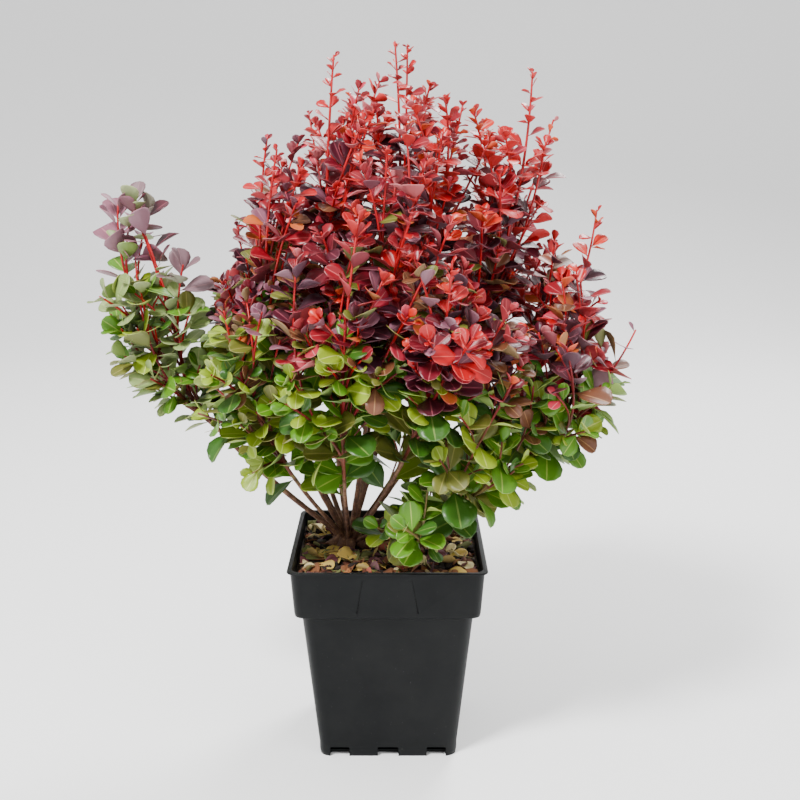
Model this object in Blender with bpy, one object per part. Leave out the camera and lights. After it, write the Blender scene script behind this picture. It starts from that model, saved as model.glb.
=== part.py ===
"""A japanese barberry in its square nursery pot, as solids at their real size, in metres with +Z up.

The origin is the middle of the pot's flat underside. The pot holds a plug of potting mix, the plant's
root crown stands on that, and bare canes fan out of the crown. Where a cane enters the foliage it ends,
and a mass goes on from it: its leading shoot, the side shoots that fork from that, and their leaves.
"""

import collections
import math
import random

import bmesh
import bpy
import numpy as np
from mathutils import Quaternion, Vector
from mathutils.bvhtree import BVHTree

# Pot: half widths across the flats, heights above the ground, and corner radii
RIM_HALF = 0.0760
RIM_TOP = 0.1620
RIM_THICK = 0.0015
COLLAR_TOP_HALF = 0.0737
COLLAR_LOW_HALF = 0.0713
COLLAR_LOW = 0.1274
COLLAR_FOOT_HALF = 0.0694
COLLAR_FOOT = 0.1230
BODY_TOP_HALF = 0.0661
BODY_FOOT_HALF = 0.0546
BODY_FOOT = 0.0090
BASE_HALF = 0.0540
RIM_CORNER = 0.0060
BODY_CORNER = 0.0090
BASE_CORNER = 0.0180
WALL = 0.0016
FLOOR = 0.0022
CORNER_STEPS = 3

# Drain notches along each side of the base, and the sunken panel in the middle of each collar side
NOTCH_HEIGHT = 0.0079
NOTCH_DEPTH = 0.0070
NOTCHES = ((-0.0457, -0.0306), (-0.0082, 0.0082), (0.0306, 0.0457))
PANEL_TOP = 0.1562
PANEL_FOOT = 0.1262
PANEL_TOP_HALF = 0.0188
PANEL_FOOT_HALF = 0.0234
PANEL_SUNK = 0.0009

# Potting mix: its height above the ground, and its lumps
SOIL_TOP = 0.1520
SOIL_LUMP = 0.0030
SOIL_LEVEL_REACH = 0.058
SOIL_RINGS = (0.97, 0.80, 0.62, 0.44, 0.26, 0.10)
GAP = 0.0003

# Root crown: where it stands, the ball that the canes leave, and the flare at ground level
CROWN_X = -0.032
CROWN_Y = 0.020
CROWN_RISE = 0.0020
CROWN_BALL = 0.0195
CROWN_FLARE = 0.0270
CROWN_SIDES = 14
CROWN_RINGS = 5
CROWN_WOBBLE = 0.08

# Canes and shoots
CANE_STEPS = 8
CANE_TAPER = 0.85
CANE_HANDLE = 0.42
CANE_HANDLE_BY_BOW = 0.016
CANE_CLEAR = 0.0010
LOWEST_RISE = math.radians(24)
EASING_ROUNDS = 60
CANE_SIDES = 5
TIP_RADIUS = 0.0007
SHOOT_RADIUS = 0.0013
LEADER_STEPS = 6
SHOOT_STEPS = 3
LEADER_SIDES = 4
SHOOT_SIDES = 3
STANDING_FORK = 0.12
FORK_HANDLE = 0.45
SIDE_FIRST = 0.08
SIDE_LAST = 0.60
SIDE_SPREAD = 0.062
SIDE_OUT = 0.75
SIDE_ALONG = 0.80
SIDE_UP = 0.60
SIDE_KEEP_OFF = 0.009
SIDE_TRIES = 8
GOLDEN_ANGLE = math.radians(137.508)
SEED = 23

# Leaves: lengths at a shoot's tip and low down, shape as shares of the length, and spacing
LEAF_TIP = 0.0170
LEAF_LOW = 0.0500
LEAF_GROWS_OVER = 0.130
LEAF_WIDTH = 0.66
LEAF_THICK = 0.045
LEAF_WIDEST = 0.62
LEAF_STEP = 0.0420
LEAF_SUNK = 0.0005
LEAF_FATTEST = 0.40
LEAF_STEP_AT_TIP = 0.40
LEAF_STEP_GROWTH = 1.6
LEAF_ANGLES = (42, 68)
LEAF_ROLL = 40
LEAF_SIZES = (0.85, 1.0)
LEAF_TRIES = 4
LEAF_SHRINKS = 0.88
CELL_MARGIN = 0.0010

# Foliage colours by height above the soil: green low down, burgundy, and scarlet at the top
TINTS = ((0.05, (0.10, 0.16, 0.03)), (0.20, (0.13, 0.03, 0.03)), (0.38, (0.45, 0.02, 0.02)))

# Each cane: the bearing of its tip from the root crown in degrees (0 is right, -90 is the front), the
# tip's reach from the crown and height above the soil, how many degrees lower than its chord it sets
# out, its radius at the foot, the share of its length that is bare, and its count of side shoots
Cane = collections.namedtuple("Cane", "name bearing reach height bow girth bare sides")
CANES = (
    Cane("left_wing", -172, 0.172, 0.283, 19, 0.0032, 0.30, 4),
    Cane("left_shoulder", -127, 0.137, 0.216, 12, 0.0026, 0.30, 3),
    Cane("left_back", 167, 0.090, 0.264, 9, 0.0026, 0.34, 3),
    Cane("left_rocket", -131, 0.080, 0.334, 8, 0.0028, 0.28, 3),
    Cane("upper_left", -96, 0.050, 0.391, 5, 0.0034, 0.26, 3),
    Cane("upper_back", 72, 0.014, 0.364, 4, 0.0030, 0.30, 2),
    Cane("top", 28, 0.042, 0.404, 4, 0.0036, 0.28, 3),
    Cane("front_centre", -70, 0.096, 0.328, 9, 0.0030, 0.30, 3),
    Cane("front_left", -88, 0.140, 0.218, 12, 0.0025, 0.36, 3),
    Cane("front_right", -63, 0.168, 0.256, 14, 0.0027, 0.36, 3),
    Cane("centre_right", -19, 0.094, 0.357, 6, 0.0032, 0.28, 3),
    Cane("right_rocket", -16, 0.143, 0.380, 8, 0.0034, 0.30, 3),
    Cane("right_outer", -6, 0.192, 0.279, 13, 0.0028, 0.34, 3),
    Cane("right_low", -13, 0.226, 0.192, 15, 0.0027, 0.40, 3),
    Cane("low_right", -42, 0.170, 0.098, 12, 0.0025, 0.36, 3),
    Cane("front_droop", -52, 0.115, 0.028, 4, 0.0021, 0.48, 2),
    Cane("back_right", 32, 0.158, 0.270, 12, 0.0028, 0.34, 4),
    Cane("back", 74, 0.138, 0.290, 10, 0.0028, 0.34, 4),
    Cane("back_left", 122, 0.140, 0.250, 12, 0.0028, 0.32, 4),
)

# Side shoots that stand out by themselves, as bearing, reach and height of their tips
STANDING_SHOOTS = {
    "left_wing": ((-156, 0.130, 0.236), (-160, 0.156, 0.150)),
    "left_shoulder": ((-128, 0.110, 0.086), (-143, 0.134, 0.130)),
    "left_back": ((146, 0.120, 0.210),),
    "left_rocket": ((-116, 0.100, 0.321),),
    "upper_left": ((-75, 0.052, 0.335),),
    "upper_back": ((128, 0.050, 0.345), (68, 0.066, 0.340)),
    "top": ((-12, 0.048, 0.394), (10, 0.058, 0.348)),
    "front_centre": ((-69, 0.139, 0.280),),
    "front_left": ((-108, 0.096, 0.100),),
    "front_right": ((-62, 0.191, 0.203),),
    "centre_right": ((-41, 0.091, 0.329),),
    "right_rocket": ((4, 0.160, 0.340), (15, 0.113, 0.338)),
    "right_low": ((-22, 0.215, 0.152), (-29, 0.202, 0.121)),
    "low_right": ((-60, 0.139, 0.106),),
    "back_right": ((16, 0.182, 0.215),),
    "back": ((58, 0.163, 0.225),),
    "back_left": ((146, 0.150, 0.175),),
}


def clear_scene():
    for old in list(bpy.data.objects):
        bpy.data.objects.remove(old)


def material(name, color, roughness, metallic=0.0):
    """A Principled material in a plain colour, given as linear red, green and blue."""
    made = bpy.data.materials.new(name)
    made.use_nodes = True
    shader = made.node_tree.nodes["Principled BSDF"]
    shader.inputs["Base Color"].default_value = (*color, 1.0)
    shader.inputs["Roughness"].default_value = roughness
    shader.inputs["Metallic"].default_value = metallic
    return made


def add_object(name, shape, finish):
    """Turns a bmesh into a named object with its material."""
    bmesh.ops.recalc_face_normals(shape, faces=shape.faces)
    mesh = bpy.data.meshes.new(name)
    shape.to_mesh(mesh)
    shape.free()
    mesh.materials.append(finish)
    made = bpy.data.objects.new(name, mesh)
    bpy.context.scene.collection.objects.link(made)
    return made


def loft(shape, rings):
    """Skins closed rings of equal count into one solid with flat ends."""
    rows = [[shape.verts.new(point) for point in ring] for ring in rings]
    count = len(rows[0])
    for low, high in zip(rows, rows[1:]):
        for i in range(count):
            j = (i + 1) % count
            shape.faces.new((low[i], low[j], high[j], high[i]))
    shape.faces.new(rows[0][::-1])
    shape.faces.new(rows[-1])


def rounded_square(half, corner, height):
    """One ring round the pot: a square with quarter-round corners."""
    ring = []
    for quarter in range(4):
        start = quarter * math.pi / 2
        middle = (half - corner) * math.sqrt(2)
        cx = middle * math.cos(start + math.pi / 4)
        cy = middle * math.sin(start + math.pi / 4)
        for step in range(CORNER_STEPS + 1):
            angle = start + step / CORNER_STEPS * math.pi / 2
            ring.append((cx + corner * math.cos(angle), cy + corner * math.sin(angle), height))
    return ring


def cut_with(target, cutter):
    cutter.hide_render = True
    cutter.display_type = "WIRE"
    cut = target.modifiers.new(cutter.name, "BOOLEAN")
    cut.operation = "DIFFERENCE"
    cut.object = cutter


def add_block(shape, floors, quarter_turns):
    """A block between two level rectangles, each (left, right, front, back, height), turned round the pot."""
    turn = Quaternion((0, 0, 1), quarter_turns * math.pi / 2)
    rings = []
    for left, right, front, back, height in floors:
        corners = ((left, front), (right, front), (right, back), (left, back))
        rings.append([turn @ Vector((x, y, height)) for x, y in corners])
    loft(shape, rings)


def collar_half(height):
    """Half the width of the collar's outside at a height, which the sunken panels follow."""
    share = (height - COLLAR_LOW) / (RIM_TOP - RIM_THICK - COLLAR_LOW)
    return COLLAR_LOW_HALF + share * (COLLAR_TOP_HALF - COLLAR_LOW_HALF)


def inner_half(height):
    """Half the width of the pot's inside at a height."""
    if height > COLLAR_FOOT + WALL:
        return collar_half(height) - WALL
    share = (height - BODY_FOOT) / (COLLAR_FOOT - BODY_FOOT)
    return BODY_FOOT_HALF + share * (BODY_TOP_HALF - BODY_FOOT_HALF) - WALL


def make_pot(finish):
    """The blown pot: a tapered body, a wider collar, a thin turned-out rim, drain notches round the base."""
    inner_corner = BODY_CORNER - WALL
    step = COLLAR_FOOT + WALL
    rings = [
        rounded_square(BASE_HALF, BASE_CORNER, 0.0),
        rounded_square(BODY_FOOT_HALF, BODY_CORNER, BODY_FOOT),
        rounded_square(BODY_TOP_HALF, BODY_CORNER, COLLAR_FOOT),
        rounded_square(COLLAR_FOOT_HALF, BODY_CORNER, COLLAR_FOOT + GAP),
        rounded_square(COLLAR_LOW_HALF, BODY_CORNER, COLLAR_LOW),
        rounded_square(COLLAR_TOP_HALF, RIM_CORNER, RIM_TOP - RIM_THICK),
        rounded_square(RIM_HALF, RIM_CORNER, RIM_TOP - RIM_THICK),
        rounded_square(RIM_HALF, RIM_CORNER, RIM_TOP),
        rounded_square(inner_half(RIM_TOP), RIM_CORNER - WALL, RIM_TOP),
        rounded_square(inner_half(step + WALL), inner_corner, step + WALL),
        rounded_square(inner_half(step), inner_corner, step),
        rounded_square(inner_half(BODY_FOOT), inner_corner, BODY_FOOT),
        rounded_square(BASE_HALF - WALL, BASE_CORNER - WALL, FLOOR),
    ]
    shape = bmesh.new()
    loft(shape, rings)
    pot = add_object("pot", shape, finish)
    notches = bmesh.new()
    panels = bmesh.new()
    for side in range(4):
        for left, right in NOTCHES:
            front, back = -BASE_HALF - NOTCH_DEPTH, -BODY_FOOT_HALF + NOTCH_DEPTH
            floors = [(left, right, front, back, height) for height in (-FLOOR, NOTCH_HEIGHT)]
            add_block(notches, floors, side)
        floors = []
        for half, height in ((PANEL_FOOT_HALF, PANEL_FOOT), (PANEL_TOP_HALF, PANEL_TOP)):
            floors.append((-half, half, -RIM_HALF, PANEL_SUNK - collar_half(height), height))
        add_block(panels, floors, side)
    cut_with(pot, add_object("notch_cutter", notches, finish))
    cut_with(pot, add_object("panel_cutter", panels, finish))
    return pot


def soil_height(x, y, chance):
    """The mix lies level round the crown and in lumps away from it."""
    away = math.hypot(x - CROWN_X, y - CROWN_Y) - SOIL_LEVEL_REACH
    return SOIL_TOP + chance.uniform(-1, 1) * SOIL_LUMP * min(max(away / SOIL_LEVEL_REACH, 0.0), 1.0)


def make_soil(finish):
    """The plug of potting mix: it fills the pot to just under the rim, lumpy on top, level at the crown."""
    chance = random.Random(SEED)
    step = COLLAR_FOOT + WALL
    corner = BODY_CORNER - WALL
    top_half = inner_half(SOIL_TOP) - GAP
    rings = [
        rounded_square(BASE_HALF - WALL - GAP, BASE_CORNER - WALL, FLOOR + GAP),
        rounded_square(inner_half(BODY_FOOT) - GAP, corner, BODY_FOOT),
        rounded_square(inner_half(step) - GAP, corner, step + GAP),
        rounded_square(inner_half(step + WALL) - GAP, corner, step + WALL + GAP),
        rounded_square(top_half, corner, SOIL_TOP - SOIL_LUMP),
    ]
    for share in SOIL_RINGS:
        ring = rounded_square(top_half * share, corner * share, SOIL_TOP)
        rings.append([(x, y, soil_height(x, y, chance)) for x, y, _ in ring])
    shape = bmesh.new()
    loft(shape, rings)
    return add_object("potting_mix", shape, finish)


def crown_ball_middle():
    return Vector((CROWN_X, CROWN_Y, SOIL_TOP + CROWN_RISE))


def make_root_crown(finish):
    """The woody foot that all canes leave: flared at its flat cut on the mix, domed under the canes."""
    chance = random.Random(SEED + 1)
    wobble = [1.0 - CROWN_WOBBLE * chance.random() for _ in range(CROWN_SIDES)]
    rings = [(CROWN_FLARE, GAP), (CROWN_BALL + CROWN_RISE, CROWN_RISE)]
    for step in range(1, CROWN_RINGS):
        angle = step / CROWN_RINGS * math.pi / 2
        rings.append((CROWN_BALL * math.cos(angle), CROWN_RISE + CROWN_BALL * math.sin(angle)))
    shape = bmesh.new()
    loops = []
    for radius, height in rings:
        loop = []
        for side in range(CROWN_SIDES):
            angle = side / CROWN_SIDES * math.tau
            reach = radius * wobble[side]
            loop.append((
                CROWN_X + reach * math.cos(angle),
                CROWN_Y + reach * math.sin(angle),
                SOIL_TOP + height,
            ))
        loops.append(loop)
    loft(shape, loops)
    return add_object("root_crown", shape, finish)


def polar(bearing, reach, height):
    """A point given from the root crown, as a gardener would pace it out."""
    angle = math.radians(bearing)
    return Vector((
        CROWN_X + reach * math.cos(angle),
        CROWN_Y + reach * math.sin(angle),
        SOIL_TOP + height,
    ))


def bow_path(start, handle, end, steps):
    """Points of the plain curve that sets out towards the handle and ends at the tip."""
    points = []
    for step in range(steps + 1):
        t = step / steps
        points.append(start * (1 - t) ** 2 + handle * (2 * t * (1 - t)) + end * t * t)
    return points


def aim(rise, bearing):
    """The direction that climbs by one angle and points along a bearing, both in radians."""
    return Vector((
        math.cos(rise) * math.cos(bearing),
        math.cos(rise) * math.sin(bearing),
        math.sin(rise),
    ))


def first_directions():
    """The directions in which the canes leave the crown, eased apart until each has its own room."""
    directions = []
    for cane in CANES:
        chord = polar(cane.bearing, cane.reach, cane.height) - crown_ball_middle()
        rise = math.atan2(chord.z, math.hypot(chord.x, chord.y)) - math.radians(cane.bow)
        directions.append(aim(rise, math.atan2(chord.y, chord.x)))
    for _ in range(EASING_ROUNDS):
        for i, first in enumerate(CANES):
            for j, second in enumerate(CANES[:i]):
                room = (first.girth + second.girth + CANE_CLEAR) / CROWN_BALL
                lack = room - directions[i].angle(directions[j])
                if lack > 0:
                    apart = (directions[i] - directions[j]).normalized() * (lack / 2)
                    directions[i] = (directions[i] + apart).normalized()
                    directions[j] = (directions[j] - apart).normalized()
        for i, direction in enumerate(directions):
            rise = max(math.asin(direction.z), LOWEST_RISE)
            directions[i] = aim(rise, math.atan2(direction.y, direction.x))
    return directions


def cane_path(cane, out):
    """A cane and its leading shoot: square off the crown's ball, bowing up to the tip."""
    tip = polar(cane.bearing, cane.reach, cane.height)
    start = crown_ball_middle() + out * (CROWN_BALL + GAP)
    pull = CANE_HANDLE + CANE_HANDLE_BY_BOW * cane.bow
    handle = start + out * (pull * (tip - start).length)
    return bow_path(start, handle, tip, CANE_STEPS)


def cane_radius(cane, share):
    return TIP_RADIUS + (cane.girth - TIP_RADIUS) * (1 - share) ** CANE_TAPER


def lengths_along(path):
    """Running length at each point."""
    run = [0.0]
    for a, b in zip(path, path[1:]):
        run.append(run[-1] + (b - a).length)
    return run


def at_length(path, run, length):
    """The point and the direction at a length along a path."""
    for i in range(len(path) - 1):
        if length <= run[i + 1] or i == len(path) - 2:
            share = (length - run[i]) / (run[i + 1] - run[i])
            return path[i].lerp(path[i + 1], share), (path[i + 1] - path[i]).normalized()
    return path[-1], (path[-1] - path[-2]).normalized()


def stretch(path, low, high, steps):
    """The part of a path between two shares of its length, in even steps."""
    run = lengths_along(path)
    points = []
    for step in range(steps + 1):
        share = low + (high - low) * step / steps
        points.append(at_length(path, run, share * run[-1])[0])
    return points


def across(direction):
    """Two directions square to one direction and to each other."""
    side = direction.orthogonal().normalized()
    return side, direction.cross(side).normalized()


def add_tube(shape, path, radii, sides):
    """A tapering limb with flat ends, its rings carried along the path without twisting."""
    rings = []
    side = across((path[1] - path[0]).normalized())[0]
    for i, point in enumerate(path):
        ahead = path[min(i + 1, len(path) - 1)]
        behind = path[max(i - 1, 0)]
        direction = (ahead - behind).normalized()
        side = (side - direction * side.dot(direction)).normalized()
        other = direction.cross(side)
        ring = []
        for corner in range(sides):
            angle = corner / sides * math.tau
            ring.append(point + (side * math.cos(angle) + other * math.sin(angle)) * radii[i])
        rings.append(ring)
    loft(shape, rings)


def segments_of(path):
    return [(a, b) for a, b in zip(path, path[1:])]


class Space:
    """Which mass a point is nearest to, by the shoots of every mass, and how far it is from each cane."""

    def __init__(self, skeletons, canes):
        starts, ends, owners = [], [], []
        for owner, paths in enumerate(skeletons):
            for path in paths:
                for a, b in segments_of(path):
                    starts.append(a)
                    ends.append(b)
                    owners.append(owner)
        self.shoots = (np.array(starts), np.array(ends))
        self.owners = np.array(owners)
        starts, ends, thick = [], [], []
        for path, radii in canes:
            for (a, b), radius in zip(segments_of(path), radii):
                starts.append(a)
                ends.append(b)
                thick.append(radius)
        self.canes = (np.array(starts), np.array(ends))
        self.thick = np.array(thick)

    @staticmethod
    def distances(point, lines):
        starts, ends = lines
        along = ends - starts
        share = ((point - starts) * along).sum(axis=1) / (along * along).sum(axis=1)
        nearest = starts + along * np.clip(share, 0, 1)[:, None]
        return np.linalg.norm(nearest - point, axis=1)

    def holds(self, owner, points):
        """True if each point is in the owner's space and clear of every bare cane."""
        for point in points:
            point = np.array(point)
            away = self.distances(point, self.shoots)
            mine = away[self.owners == owner].min()
            others = away[self.owners != owner].min()
            if mine + CELL_MARGIN > others:
                return False
            if (self.distances(point, self.canes) - self.thick).min() < CELL_MARGIN:
                return False
        return True


def clear_of(path, lines, keep_off):
    """True if a path stays this far from every line in the list, given as (start, end, radius)."""
    starts = np.array([line[0] for line in lines])
    ends = np.array([line[1] for line in lines])
    radii = np.array([line[2] for line in lines])
    for point in path:
        away = Space.distances(np.array(point), (starts, ends)) - radii
        if away.min() < keep_off:
            return False
    return True


def leading_shoot(cane, path):
    """The stretch of a cane that belongs to its mass."""
    length = lengths_along(path)[-1]
    return stretch(path, cane.bare + GAP / length, 1.0 - LEAF_TIP / 2 / length, LEADER_STEPS)


def forked_shoot(leader, share, tip):
    """A shoot that leaves the leader part way up and curves on to its own tip."""
    run = lengths_along(leader)
    start, direction = at_length(leader, run, share * run[-1])
    handle = start + direction * (FORK_HANDLE * (tip - start).length)
    return bow_path(start, handle, tip, SHOOT_STEPS)


def side_shoot(cane, leader, turn, number):
    """A side shoot by the rule: shorter the higher it forks, its bearing a golden angle from the last."""
    share = SIDE_FIRST + (SIDE_LAST - SIDE_FIRST) * number / max(cane.sides, 1)
    run = lengths_along(leader)
    start, direction = at_length(leader, run, share * run[-1])
    one, other = across(direction)
    out = one * math.cos(turn) + other * math.sin(turn)
    reach = SIDE_SPREAD * (1 - share / 2)
    tip = start + (out * SIDE_OUT + direction * SIDE_ALONG + Vector((0, 0, SIDE_UP))) * reach
    return forked_shoot(leader, share, tip)


def grow_skeletons(paths):
    """For each cane, its leading shoot, the shoots that stand out, then the side shoots that find room."""
    skeletons = []
    for cane, path in zip(CANES, paths):
        leader = leading_shoot(cane, path)
        shoots = [leader]
        for bearing, reach, height in STANDING_SHOOTS.get(cane.name, ()):
            shoots.append(forked_shoot(leader, STANDING_FORK, polar(bearing, reach, height)))
        skeletons.append(shoots)
    bare = []
    for cane, path in zip(CANES, paths):
        for a, b in segments_of(stretch(path, 0.0, cane.bare, CANE_STEPS)):
            bare.append((a, b, cane.girth))
    for index, cane in enumerate(CANES):
        leader = skeletons[index][0]
        turn = index * GOLDEN_ANGLE
        for number in range(cane.sides):
            others = list(bare)
            for owner, shoots in enumerate(skeletons):
                for shoot in shoots:
                    if owner != index:
                        others += [(a, b, SHOOT_RADIUS) for a, b in segments_of(shoot)]
            for _ in range(SIDE_TRIES):
                turn += GOLDEN_ANGLE
                shoot = side_shoot(cane, leader, turn, number)
                if shoot[-1].z > SOIL_TOP + LEAF_LOW and clear_of(shoot, others, SIDE_KEEP_OFF):
                    skeletons[index].append(shoot)
                    break
    return skeletons


def leaf_points(root, direction, face, length):
    """Root, tip, left, right and crest of a leaf: an egg shape, widest past its middle, flat below."""
    side = direction.cross(face).normalized()
    wide = root + direction * (length * LEAF_WIDEST)
    half_width = side * (length * LEAF_WIDTH / 2)
    crest = root + direction * (length * LEAF_FATTEST) + face * (length * LEAF_THICK)
    return [
        root - direction * LEAF_SUNK,
        root + direction * length,
        wide - half_width,
        wide + half_width,
        crest,
    ]


def add_leaf(shape, points):
    """The faces over the five points of a leaf: four above and two below."""
    root, tip, left, right, crest = (shape.verts.new(point) for point in points)
    for side in (left, right):
        shape.faces.new((root, side, crest))
        shape.faces.new((crest, side, tip))
        shape.faces.new((root, tip, side))


def shape_tree(shape):
    shape.normal_update()
    return BVHTree.FromBMesh(shape)


def leaf_length(to_tip):
    """Small leaves crowd a shoot's tip, and full-size ones stand lower down."""
    share = min(to_tip / LEAF_GROWS_OVER, 1.0)
    return LEAF_TIP + (LEAF_LOW - LEAF_TIP) * share


def leaf_seats(shoot):
    """Lengths along a shoot where leaves sit, closer together towards the tip."""
    total = lengths_along(shoot)[-1]
    seats = []
    to_tip = SHOOT_RADIUS
    while to_tip < total - LEAF_TIP / 2:
        seats.append(total - to_tip)
        crowding = LEAF_STEP_AT_TIP + (1 - LEAF_STEP_AT_TIP) * min(to_tip / LEAF_GROWS_OVER, 1.0)
        to_tip += LEAF_STEP * (crowding + LEAF_STEP_GROWTH * to_tip)
    return seats


def seat_leaf(place, owner, space, taken, chance):
    """The first leaf at a seat that keeps to the space and touches no other leaf or shoot, or None."""
    point, direction, turn, length = place
    for attempt in range(LEAF_TRIES):
        one, other = across(direction)
        angle = turn + attempt * GOLDEN_ANGLE
        out = one * math.cos(angle) + other * math.sin(angle)
        open_angle = math.radians(chance.uniform(*LEAF_ANGLES))
        along = (direction * math.cos(open_angle) + out * math.sin(open_angle)).normalized()
        face = (direction * math.sin(open_angle) - out * math.cos(open_angle)).normalized()
        face = Quaternion(along, math.radians(chance.uniform(-LEAF_ROLL, LEAF_ROLL))) @ face
        points = leaf_points(point, along, face, length * LEAF_SHRINKS**attempt)
        if not space.holds(owner, points[1:]):
            continue
        leaf = bmesh.new()
        add_leaf(leaf, points)
        tree = shape_tree(leaf)
        if not any(tree.overlap(other_tree) for other_tree in taken):
            return leaf, tree
        leaf.free()
    return None


def fuse(body, parts):
    """Joins the parts to the body by one union, and keeps only the outer shell that results."""
    group = bpy.data.collections.new(body.name + "_parts")
    bpy.context.scene.collection.children.link(group)
    for part in parts:
        bpy.context.scene.collection.objects.unlink(part)
        group.objects.link(part)
    union = body.modifiers.new("union", "BOOLEAN")
    union.operation = "UNION"
    union.operand_type = "COLLECTION"
    union.collection = group
    graph = bpy.context.evaluated_depsgraph_get()
    joined = bpy.data.meshes.new_from_object(body.evaluated_get(graph))
    body.modifiers.clear()
    body.data = joined
    for part in parts:
        bpy.data.objects.remove(part)
    bpy.data.collections.remove(group)
    keep_outer_shell(joined)


def keep_outer_shell(mesh):
    """Fills hollows that the union sealed and drops scraps, by keeping the largest shell alone."""
    shape = bmesh.new()
    shape.from_mesh(mesh)
    bmesh.ops.triangulate(shape, faces=shape.faces)
    left = set(shape.verts)
    shells = []
    while left:
        shell = set()
        front = [left.pop()]
        while front:
            vertex = front.pop()
            shell.add(vertex)
            for edge in vertex.link_edges:
                near = edge.other_vert(vertex)
                if near in left:
                    left.remove(near)
                    front.append(near)
        shells.append(shell)
    shells.sort(key=len)
    for shell in shells[:-1]:
        bmesh.ops.delete(shape, geom=list(shell), context="VERTS")
    shape.to_mesh(mesh)
    shape.free()


def make_mass(index, cane, skeleton, space, finish):
    """One mass of foliage: the leading shoot, its side shoots, and a leaf at each seat that has room."""
    chance = random.Random(SEED * 100 + index)
    trees = []
    bodies = []
    for number, shoot in enumerate(skeleton):
        root = cane_radius(cane, cane.bare) if number == 0 else SHOOT_RADIUS
        last = len(shoot) - 1
        radii = [root + (TIP_RADIUS - root) * i / last for i in range(len(shoot))]
        shape = bmesh.new()
        add_tube(shape, shoot, radii, LEADER_SIDES if number == 0 else SHOOT_SIDES)
        bmesh.ops.triangulate(shape, faces=shape.faces)
        trees.append(shape_tree(shape))
        bodies.append(add_object(f"{cane.name}_foliage_{number}", shape, finish))
    taken = []
    turn = chance.uniform(0, math.tau)
    for number, shoot in enumerate(skeleton):
        run = lengths_along(shoot)
        others = [tree for i, tree in enumerate(trees) if i != number]
        for seat in leaf_seats(shoot):
            turn += GOLDEN_ANGLE
            point, direction = at_length(shoot, run, seat)
            length = leaf_length(run[-1] - seat) * chance.uniform(*LEAF_SIZES)
            found = seat_leaf((point, direction, turn, length), index, space, taken + others, chance)
            if found:
                taken.append(found[1])
                bodies.append(add_object(f"{cane.name}_leaf_{len(taken)}", found[0], finish))
    body = bodies[0]
    fuse(body, bodies[1:])
    body.name = f"foliage_{cane.name}"
    return len(taken)


def make_cane(cane, path, finish):
    """One bare cane, tapering from the crown to where its foliage begins."""
    points = stretch(path, 0.0, cane.bare, CANE_STEPS // 2)
    last = len(points) - 1
    radii = [cane_radius(cane, cane.bare * i / last) for i in range(len(points))]
    shape = bmesh.new()
    add_tube(shape, points, radii, CANE_SIDES)
    add_object(f"cane_{cane.name}", shape, finish)
    return points, radii


def leaf_tint(height):
    """The foliage colour of a cane whose tip stands this high above the soil."""
    for (low, under), (high, over) in zip(TINTS, TINTS[1:]):
        if height <= high:
            share = min(max((height - low) / (high - low), 0.0), 1.0)
            return [a + (b - a) * share for a, b in zip(under, over)]
    return TINTS[-1][1]


def build():
    clear_scene()
    make_pot(material("black_plastic", (0.022, 0.024, 0.026), 0.45))
    make_soil(material("potting_mix", (0.070, 0.040, 0.022), 0.95))
    bark = material("bark", (0.140, 0.060, 0.035), 0.75)
    make_root_crown(bark)
    paths = [cane_path(cane, out) for cane, out in zip(CANES, first_directions())]
    skeletons = grow_skeletons(paths)
    bare = [make_cane(cane, path, bark) for cane, path in zip(CANES, paths)]
    space = Space(skeletons, bare)
    for index, (cane, skeleton) in enumerate(zip(CANES, skeletons)):
        finish = material(f"leaves_{cane.name}", leaf_tint(cane.height), 0.50)
        make_mass(index, cane, skeleton, space, finish)


build()
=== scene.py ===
import collections
import itertools
import math
import random

import bpy
import numpy as np
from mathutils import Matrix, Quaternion, Vector
from mathutils.noise import noise


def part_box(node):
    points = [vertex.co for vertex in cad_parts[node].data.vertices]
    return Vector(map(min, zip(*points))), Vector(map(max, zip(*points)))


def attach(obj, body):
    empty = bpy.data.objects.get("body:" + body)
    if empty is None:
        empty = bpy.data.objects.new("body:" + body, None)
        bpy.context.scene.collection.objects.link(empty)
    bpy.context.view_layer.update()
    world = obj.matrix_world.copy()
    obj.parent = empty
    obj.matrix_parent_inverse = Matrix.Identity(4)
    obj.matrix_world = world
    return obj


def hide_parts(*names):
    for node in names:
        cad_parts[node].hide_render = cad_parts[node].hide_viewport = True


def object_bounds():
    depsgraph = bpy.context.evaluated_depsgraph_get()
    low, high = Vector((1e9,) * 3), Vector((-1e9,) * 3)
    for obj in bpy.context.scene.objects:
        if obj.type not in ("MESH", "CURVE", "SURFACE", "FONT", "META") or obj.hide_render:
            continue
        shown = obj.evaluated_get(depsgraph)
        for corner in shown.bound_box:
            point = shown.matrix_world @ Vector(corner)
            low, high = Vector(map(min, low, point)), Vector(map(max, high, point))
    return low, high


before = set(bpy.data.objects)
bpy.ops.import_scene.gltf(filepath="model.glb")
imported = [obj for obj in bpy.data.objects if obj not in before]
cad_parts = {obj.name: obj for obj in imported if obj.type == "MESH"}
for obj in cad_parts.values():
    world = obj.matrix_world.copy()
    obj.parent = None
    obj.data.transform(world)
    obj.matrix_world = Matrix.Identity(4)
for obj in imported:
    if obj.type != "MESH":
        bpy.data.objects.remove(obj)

solids_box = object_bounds()


# The camera stands a little above the plant and looks slightly down on it, as in the photograph.
CAMERA_PLACE = (0.0095, -0.945, 0.502)
CAMERA_PITCH = 13.35
CAMERA_LENS = 55.67

lens = bpy.data.cameras.new("camera")
lens.lens = CAMERA_LENS
lens.sensor_width = 36.0
lens.clip_start = 0.01
camera = bpy.data.objects.new("camera", lens)
camera.location = CAMERA_PLACE
camera.rotation_euler = (math.radians(90 - CAMERA_PITCH), 0, 0)
bpy.context.scene.collection.objects.link(camera)
bpy.context.scene.camera = camera


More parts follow.
